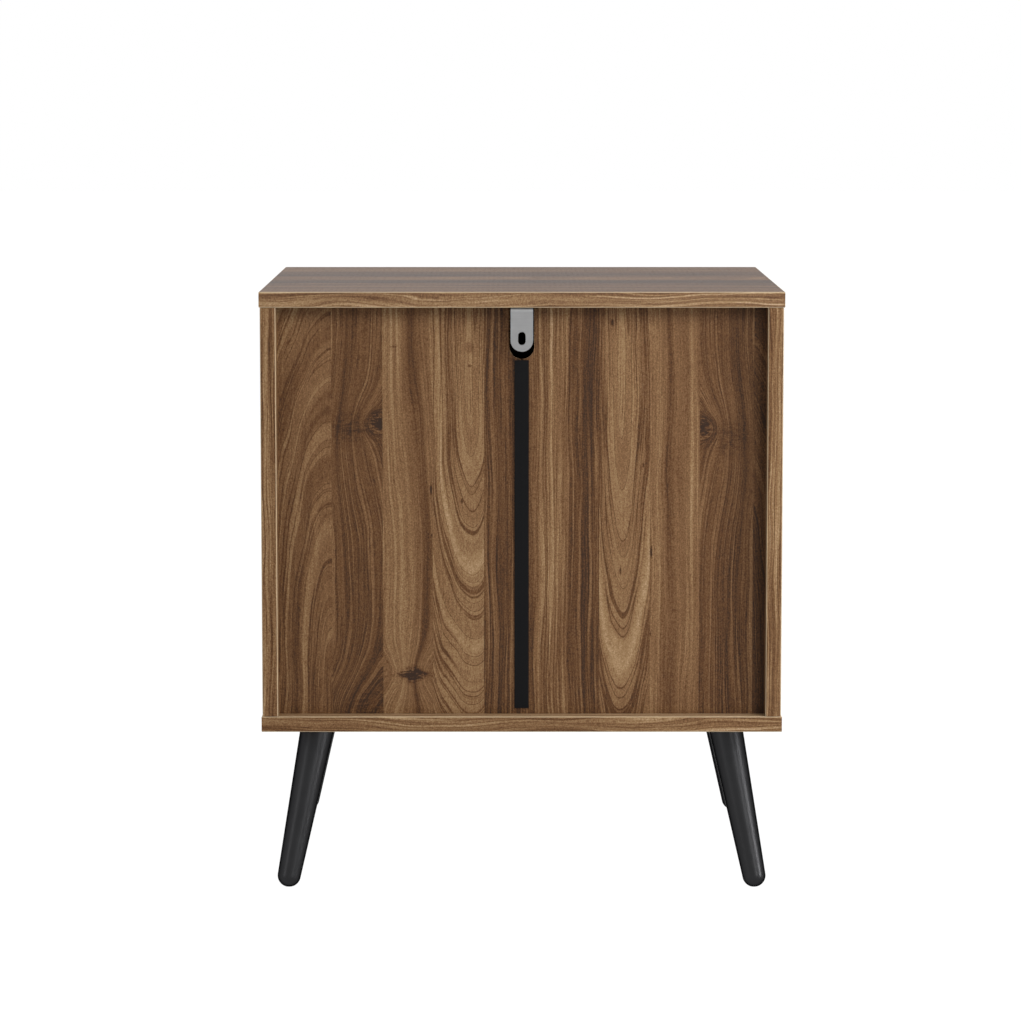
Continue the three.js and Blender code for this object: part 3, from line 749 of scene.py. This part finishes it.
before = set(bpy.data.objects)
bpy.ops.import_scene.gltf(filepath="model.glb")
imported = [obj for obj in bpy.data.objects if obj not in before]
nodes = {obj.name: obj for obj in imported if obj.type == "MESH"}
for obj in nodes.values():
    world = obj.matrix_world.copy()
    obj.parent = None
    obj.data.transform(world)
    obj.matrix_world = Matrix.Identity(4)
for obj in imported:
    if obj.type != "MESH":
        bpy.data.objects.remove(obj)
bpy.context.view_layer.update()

# Materials
walnut_back = walnut("walnut_back", "y", "z", BACK_LEAVES, BACK_BAND, BACK_KNOTS, BACK_MARKS)
# The top's veneer is laid darker than the other boards: painted shade that offsets the stronger light
# on its upper face
walnut_top = walnut("walnut_top", "z", "x", laid(-220, 51, 9, 0, -0.13), TOP_BAND, sheen=TOP_SHEEN)
# The bottom's veneer is laid lighter than the other boards, with a light leaf at its rear: painted
# light on the strip that shows behind the back, where shade falls
walnut_bottom = walnut("walnut_bottom", "z", "x", laid(-281, 51, 10, 40, 0.22), BOTTOM_BAND)
walnut_side = walnut("walnut_side", "x", "z", laid(-214, 50, 9, 300), SIDE_BAND)
walnut_front = walnut("walnut_front", "y", "x", laid(150, 54, 8, 30), FRONT_BAND)
walnut_box_side = walnut("walnut_box_side", "x", "y", laid(170, 47, 8, 10, 0.08), BOX_SIDE_BAND)
walnut_box_back = walnut("walnut_box_back", "y", "x", laid(160, 47, 8, 10, 0.08), BOX_BACK_BAND)
walnut_box_bottom = walnut(
    "walnut_box_bottom", "z", "y", laid(-220, 52, 9, 10, 0.05), BOX_BOTTOM_BAND
)
# The tinted metal keeps the rims of the round legs dark in front of white
black_legs = paint(
    "black_legs", srgb(45, 45, 46), srgb(51, 51, 52), 0.34,
    {"Metallic": 1, "Specular Tint": (0.3, 0.3, 0.3, 1)},
)
black_knobs = paint(
    "black_knobs", srgb(26, 26, 27), srgb(33, 33, 34), 0.34, {"Specular IOR Level": 0.4}
)
black_strip = moulded(
    "black_strip", srgb(7, 7, 8), srgb(12, 12, 13), 0.6, {"Specular IOR Level": 0.08}
)
bracket_steel = steel(
    "bracket_steel", srgb(118, 118, 118), srgb(133, 133, 133), 0.5, BRACKET_LINES, {"Metallic": 0.5}
)
slide_steel = steel(
    "slide_steel", srgb(168, 171, 175), srgb(196, 198, 200), 0.32, SLIDE_LINES, {"Metallic": 1}
)
ball_steel = steel(
    "ball_steel", srgb(190, 192, 195), srgb(214, 215, 217), 0.18, BALL_LINES, {"Metallic": 1}
)
fastener_steel = steel(
    "fastener_steel", srgb(160, 160, 158), srgb(190, 189, 184), 0.36, FASTENER_LINES,
    {"Metallic": 1},
)

# The material of each node, by the first of these that is in its name
LOOKS = {
    "screw": fastener_steel,
    "bolt": fastener_steel,
    "insert": fastener_steel,
    "back_panel": walnut_back,
    "top_panel": walnut_top,
    "bottom_panel": walnut_bottom,
    "side_panel": walnut_side,
    "joining_strip": black_strip,
    "wall_bracket": bracket_steel,
    "drawer_front": walnut_front,
    "drawer_side": walnut_box_side,
    "drawer_back": walnut_box_back,
    "drawer_bottom": walnut_box_bottom,
    "knob": black_knobs,
    "slide": slide_steel,
    "leg": black_legs,
}
for node_name, node in nodes.items():
    look = next(material for part, material in LOOKS.items() if part in node_name)
    for material_slot in node.material_slots:
        material_slot.link = "OBJECT"
        material_slot.material = look


def lathe(form, profile, steps):
    """Turns (radius, height) points about Z, closed where they reach it. Returns the last ring."""
    before = None
    for radius, height in profile:
        ring = []
        for i in range(steps if radius else 1):
            turn = 2 * math.pi * i / steps
            ring.append(form.verts.new((radius * math.cos(turn), radius * math.sin(turn), height)))
        if before:
            for i in range(steps):
                j = (i + 1) % steps
                lower = (before[i % len(before)], before[j % len(before)])
                upper = (ring[j % len(ring)], ring[i % len(ring)])
                form.faces.new(tuple(dict.fromkeys(lower + upper)))
        before = ring
    return before


def aimed(place, direction):
    """Moves a form to a place and turns its Z towards a direction."""
    turn = Vector(direction).to_track_quat("Z", "Y").to_matrix().to_4x4()
    return Matrix.Translation(place) @ turn


def turned(profile, place, direction):
    """A finely turned form that stands at a place and points in a direction."""
    form = bmesh.new()
    lathe(form, profile, TURNED_STEPS)
    bmesh.ops.transform(form, matrix=aimed(place, direction), verts=form.verts)
    return form


def close_with_cross(form, ring, radius, depth):
    """Closes the open top of a screw head with a flat face that has a cross recess."""
    top = ring[0].co.z
    half, reach = radius * CROSS_HALF_WIDTH, radius * CROSS_REACH
    outline = []
    for turn in range(4):
        spin = Matrix.Rotation(turn * math.pi / 2, 3, "Z")
        for x, y in ((reach, -half), (reach, half), (half, half)):
            outline.append(spin @ Vector((x, y, top)))
    rim = [form.verts.new(corner) for corner in outline]
    floor = []
    for corner in outline:
        floor.append(form.verts.new((corner.x * CROSS_FLOOR, corner.y * CROSS_FLOOR, top - depth)))
    edges = []
    for loop in (ring, rim):
        for one, other in zip(loop, loop[1:] + loop[:1]):
            edges.append(form.edges.get((one, other)) or form.edges.new((one, other)))
    bmesh.ops.triangle_fill(
        form, use_beauty=True, use_dissolve=False, edges=edges, normal=(0, 0, 1)
    )
    for i in range(len(rim)):
        j = (i + 1) % len(rim)
        form.faces.new((rim[i], rim[j], floor[j], floor[i]))
    form.faces.new(floor)


def screw_form(screw, length):
    """A pan-head screw with a cross recess and a shank of a length, its head standing on Z = 0."""
    form = bmesh.new()
    shank_radius = screw.shank_radius
    profile = [
        (0, -length),
        (shank_radius, min(shank_radius - length, -length / 2)),
        (shank_radius, 0),
    ]
    profile += [(screw.head_radius * out, screw.head_height * up) for out, up in PAN_HEAD]
    rim = lathe(form, profile, SCREW_STEPS)
    close_with_cross(form, rim, screw.head_radius, screw.head_height * PAN_CROSS_DEPTH)
    return form


def flush_screw_form(radius, height):
    """A small countersunk head with a cross recess, from Z = 0 up to its flat top."""
    form = bmesh.new()
    rim = lathe(form, [(radius * out, height * up) for out, up in FLUSH_HEAD], SCREW_STEPS)
    close_with_cross(form, rim, radius, height * FLUSH_CROSS_DEPTH)
    return form


def copies(form, places, direction):
    """One form with the given one at each place."""
    mesh = bpy.data.meshes.new("pattern")
    form.to_mesh(mesh)
    form.free()
    joined = bmesh.new()
    for place in places:
        start = len(joined.verts)
        joined.from_mesh(mesh)
        joined.verts.ensure_lookup_table()
        bmesh.ops.transform(joined, matrix=aimed(place, direction), verts=joined.verts[start:])
    bpy.data.meshes.remove(mesh)
    return joined


def in_scene(name, data):
    """A new object with the data, in the scene."""
    thing = bpy.data.objects.new(name, data)
    bpy.context.scene.collection.objects.link(thing)
    return thing


def add_piece(name, form, body, materials, replaced=None):
    """Makes a piece of a form that was drawn in millimetres in its place on the resting object."""
    bmesh.ops.recalc_face_normals(form, faces=form.faces)
    bmesh.ops.triangulate(form, faces=[face for face in form.faces if len(face.verts) > 4])
    bmesh.ops.scale(form, vec=(MM, MM, MM), verts=form.verts)
    mesh = bpy.data.meshes.new(name)
    form.to_mesh(mesh)
    form.free()
    mesh.shade_smooth()
    mesh.set_sharp_from_angle(angle=SHARP_ANGLE)
    for material in materials:
        mesh.materials.append(material)
    piece = in_scene(name, mesh)
    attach(piece, body)
    if replaced:
        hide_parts(replaced)


def box_mm(name):
    """A node's lowest corner, highest corner and middle at rest, in millimetres."""
    low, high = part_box(name)
    low, high = Vector(low) / MM, Vector(high) / MM
    return low, high, (low + high) / 2


def leg_profile(length):
    """Half the section of a leg: a round tip, and a cone that goes on past the length."""
    profile = [(0, -LEG_TIP_RADIUS)]
    for i in range(1, LEG_TIP_STEPS + 1):
        turn = (i / LEG_TIP_STEPS - 1) * math.pi / 2
        profile.append((LEG_TIP_RADIUS * math.cos(turn), LEG_TIP_RADIUS * math.sin(turn)))
    slope = (LEG_TOP_RADIUS - LEG_TIP_RADIUS) / length
    end = length + LEG_TOP_RADIUS
    return profile + [(LEG_TOP_RADIUS + slope * LEG_TOP_RADIUS, end), (0, end)]


def add_legs():
    """Round tapered legs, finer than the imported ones, cut level at the cabinet and at the floor."""
    cabinet_foot = box_mm("bottom_panel")[0].z
    tip_height = math.sqrt(LEG_TIP_RADIUS**2 - LEG_FLAT_RADIUS**2)
    for end, sign_y in (("front", -1), ("rear", 1)):
        for side, sign_x in (("left", -1), ("right", 1)):
            bolt = box_mm(f"leg_bolt_{end}_{side}")[2]
            top = Vector((bolt.x, bolt.y, cabinet_foot))
            tip = Vector((top.x + sign_x * LEG_LEAN_X, top.y + sign_y * LEG_LEAN_Y, tip_height))
            form = turned(leg_profile((top - tip).length), tip, top - tip)
            for height, keep in ((top.z - SEAM, 1), (0, -1)):
                cut = bmesh.ops.bisect_plane(
                    form,
                    geom=[*form.verts, *form.edges, *form.faces],
                    plane_co=(0, 0, height),
                    plane_no=(0, 0, keep),
                    clear_outer=True,
                )
                rim = [part for part in cut["geom_cut"] if isinstance(part, bmesh.types.BMEdge)]
                bmesh.ops.edgeloop_fill(form, edges=rim)
            name = f"leg_{end}_{side}"
            add_piece(f"{name}_turned", form, "cabinet", [black_legs], name)


def knob_profile():
    """Half the section of a knob: an eased base, a neck that flares out, and a rounded cap."""
    profile = [
        (0, 0),
        (KNOB_BASE_RADIUS - KNOB_BASE_EASE, 0),
        (KNOB_BASE_RADIUS, KNOB_BASE_EASE),
        (KNOB_BASE_RADIUS, KNOB_BASE_HEIGHT - KNOB_BASE_EASE),
        (KNOB_BASE_RADIUS - KNOB_BASE_EASE, KNOB_BASE_HEIGHT),
        (KNOB_NECK_RADIUS, KNOB_BASE_HEIGHT),
    ]
    # The flare is a curve between four points: base, neck, and the neck's and the cap's radius at
    # the height of the flare
    for i in range(1, KNOB_FLARE_STEPS + 1):
        share = i / KNOB_FLARE_STEPS
        rest = 1 - share
        base, neck, flare, cap = rest**3, 3 * rest**2 * share, 3 * rest * share**2, share**3
        radius = KNOB_NECK_RADIUS * (base + neck + flare) + KNOB_RADIUS * cap
        height = KNOB_BASE_HEIGHT * base + KNOB_NECK_HEIGHT * neck
        profile.append((radius, height + KNOB_FLARE_HEIGHT * (flare + cap)))
    for i in range(1, KNOB_ROUNDING_STEPS + 1):
        turn = i / KNOB_ROUNDING_STEPS * math.pi / 2
        radius = KNOB_RADIUS - KNOB_ROUNDING * (1 - math.cos(turn))
        profile.append((radius, KNOB_PROJECTION - KNOB_ROUNDING * (1 - math.sin(turn))))
    profile.append((0, KNOB_PROJECTION))
    return profile


def add_knobs():
    """Turned knobs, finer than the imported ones, and the screws that hold them."""
    for drawer in ("lower_drawer", "upper_drawer"):
        name = f"{drawer}_knob"
        _, high, middle = box_mm(name)
        form = turned(knob_profile(), Vector((middle.x, high.y, middle.z)), (0, -1, 0))
        add_piece(f"{name}_turned", form, drawer, [black_knobs], name)
        name = f"{drawer}_knob_screw"
        low, high, _ = box_mm(name)
        head = Vector((middle.x, high.y - KNOB_SCREW.head_height, middle.z))
        form = screw_form(KNOB_SCREW, head.y - low.y)
        bmesh.ops.transform(form, matrix=aimed(head, (0, 1, 0)), verts=form.verts)
        add_piece(f"{name}_cross", form, drawer, [fastener_steel], name)


def add_bracket_screws():
    """The two screws that hold the wall bracket under the top."""
    for end in ("rear", "front"):
        name = f"wall_bracket_screw_{end}"
        low, high, middle = box_mm(name)
        head = Vector((middle.x, middle.y, low.z + BRACKET_SCREW.head_height))
        form = screw_form(BRACKET_SCREW, high.z - head.z)
        bmesh.ops.transform(form, matrix=aimed(head, (0, 0, -1)), verts=form.verts)
        add_piece(f"{name}_cross", form, "cabinet", [fastener_steel], name)


def cage_section(web, row_out, row_up):
    """A cage's section as places out from the cabinet side and up from the cage's middle."""
    window_low, window_high = WINDOW_REACH
    upper = [
        (web, row_up * window_low),
        (web, row_up * window_high),
        (web, row_up - CAGE_BEND),
        (web + CAGE_BEND_MIDDLE, row_up - CAGE_BEND_MIDDLE),
        (web + CAGE_BEND, row_up),
        (row_out + BALL_RADIUS + CAGE_SPARE, row_up),
    ]
    return [(out, -up) for out, up in reversed(upper)] + upper


def cage_form(side_x, inward, middle, web, row_out, row_up):
    """A ball cage: a thin strip with windows and two bent arms that hold a row of balls each."""
    form = bmesh.new()
    section = cage_section(web, row_out, row_up)
    # A row of corners at and between the balls, and two more past the balls at each end
    between_ends = 2 * BALLS_IN_ROW - 1
    start = middle.y - BALL_PITCH * (BALLS_IN_ROW + 1) / 2
    grid = []
    for i in range(between_ends + 4):
        y = start + BALL_PITCH * i / 2
        corners = [(side_x + inward * out, y, middle.z + up) for out, up in section]
        grid.append([form.verts.new(corner) for corner in corners])
    for i, (row, after) in enumerate(zip(grid, grid[1:])):
        for j in range(len(section) - 1):
            window = i % 2 == 1 and i <= between_ends and j in WINDOW_STRIPS
            if not window:
                form.faces.new((row[j], row[j + 1], after[j + 1], after[j]))
    bmesh.ops.recalc_face_normals(form, faces=form.faces)
    bmesh.ops.solidify(form, geom=form.faces[:], thickness=CAGE_SHEET)
    sheet_faces = set(form.faces)
    for up in (-row_up, row_up):
        for i in range(BALLS_IN_ROW):
            y = middle.y + BALL_PITCH * (i - (BALLS_IN_ROW - 1) / 2)
            bmesh.ops.create_icosphere(
                form,
                subdivisions=BALL_SUBDIVISIONS,
                radius=BALL_RADIUS,
                matrix=Matrix.Translation((side_x + inward * row_out, y, middle.z + up)),
            )
    for face in form.faces:
        face.material_index = 0 if face in sheet_faces else 1
    return form


def add_slide_fittings():
    """The screws and the ball cages of the four slides."""
    for drawer in ("lower", "upper"):
        for side, sign in (("left", -1), ("right", 1)):
            slide = f"{drawer}_drawer_{side}_slide"
            low, high, middle = box_mm(f"{slide}_cabinet_member")
            side_x = low.x if sign < 0 else high.x
            web_x = side_x - sign * (SLIDE_DEPTH - SLIDE_SHEET)
            rows = [middle.y + step * SLIDE_SCREW_PITCH for step in (-1, 0, 1)]
            form = flush_screw_form(FLUSH_SCREW_RADIUS, SLIDE_SHEET)
            form = copies(form, [(side_x, y, middle.z) for y in rows], (-sign, 0, 0))
            name = f"{slide}_cabinet_screws"
            add_piece(name, form, "cabinet", [fastener_steel])
            form = screw_form(SLIDE_SCREW, SLIDE_SHEET)
            form = copies(form, [(web_x, y, middle.z) for y in rows], (sign, 0, 0))
            name = f"{slide}_drawer_screws"
            add_piece(name, form, f"{drawer}_drawer", [fastener_steel])
            for cage, (web, row_out, row_up) in CAGES.items():
                form = cage_form(side_x, -sign, middle, web, row_out, row_up)
                name = f"{slide}_{cage}_ball_cage"
                body = f"{drawer}_{side}_{cage}_cage"
                materials = [slide_steel, ball_steel]
                add_piece(f"{name}_fine", form, body, materials, name)


def add_camera():
    """The photograph's camera, behind the cabinet."""
    data = bpy.data.cameras.new("view")
    data.lens = CAMERA_LENS
    data.sensor_width = CAMERA_SENSOR
    data.clip_end = CAMERA_REACH
    camera = in_scene("view", data)
    camera.location = CAMERA_PLACE
    camera.rotation_euler = (CAMERA_TILT, 0, math.pi)
    bpy.context.scene.camera = camera


def add_lamps():
    """Square lamps that look at the middle of the cabinet."""
    for name, (place, width, power) in LAMPS.items():
        data = bpy.data.lights.new(name, "AREA")
        data.size = width
        data.energy = power
        lamp = in_scene(name, data)
        lamp.location = place
        aim = Vector(LAMP_AIM) - Vector(place)
        lamp.rotation_euler = aim.to_track_quat("-Z", "Y").to_euler()


def seen_directly(tree):
    """1 for what the camera sees, also by reflection or through glass, 0 for light on surfaces."""
    path = tree.nodes.new("ShaderNodeLightPath")
    camera, glossy, clear = (
        Field(tree, path.outputs[f"Is {kind} Ray"]) for kind in ("Camera", "Glossy", "Transmission")
    )
    return camera.run("MAXIMUM", glossy).run("MAXIMUM", clear)


def add_world():
    """A white world, weaker as a light than in view."""
    world = bpy.data.worlds.new("studio")
    bpy.context.scene.world = world
    world.use_nodes = True
    background = world.node_tree.nodes["Background"]
    background.inputs["Color"].default_value = (1, 1, 1, 1)
    strength = seen_directly(world.node_tree) * (1 - AMBIENT) + AMBIENT
    feed(world.node_tree, background.inputs["Strength"], strength)


def add_floor():
    """A white floor that keeps a faint shadow of the cabinet."""
    mesh = bpy.data.meshes.new("floor")
    signs = ((-1, -1), (1, -1), (1, 1), (-1, 1))
    corners = [(x * FLOOR_HALF_SIZE, y * FLOOR_HALF_SIZE, 0) for x, y in signs]
    mesh.from_pydata(corners, [], [(0, 1, 2, 3)])
    floor = in_scene("floor", mesh)
    shader = Shader("floor_white")
    tree = shader.tree
    matt = tree.nodes.new("ShaderNodeBsdfDiffuse")
    matt.inputs["Color"].default_value = (FLOOR_GREY, FLOOR_GREY, FLOOR_GREY, 1)
    glow = tree.nodes.new("ShaderNodeEmission")
    glow.inputs["Strength"].default_value = FLOOR_GLOW
    mix = tree.nodes.new("ShaderNodeMixShader")
    output = tree.nodes.new("ShaderNodeOutputMaterial")
    feed(tree, mix.inputs[0], seen_directly(tree) * FLOOR_GLOW_SHARE)
    tree.links.new(matt.outputs[0], mix.inputs[1])
    tree.links.new(glow.outputs[0], mix.inputs[2])
    tree.links.new(mix.outputs[0], output.inputs["Surface"])
    mesh.materials.append(shader.material)


add_legs()
add_knobs()
add_bracket_screws()
add_slide_fittings()
add_camera()
add_lamps()
add_world()
add_floor()
bpy.context.scene.view_settings.view_transform = "Standard"
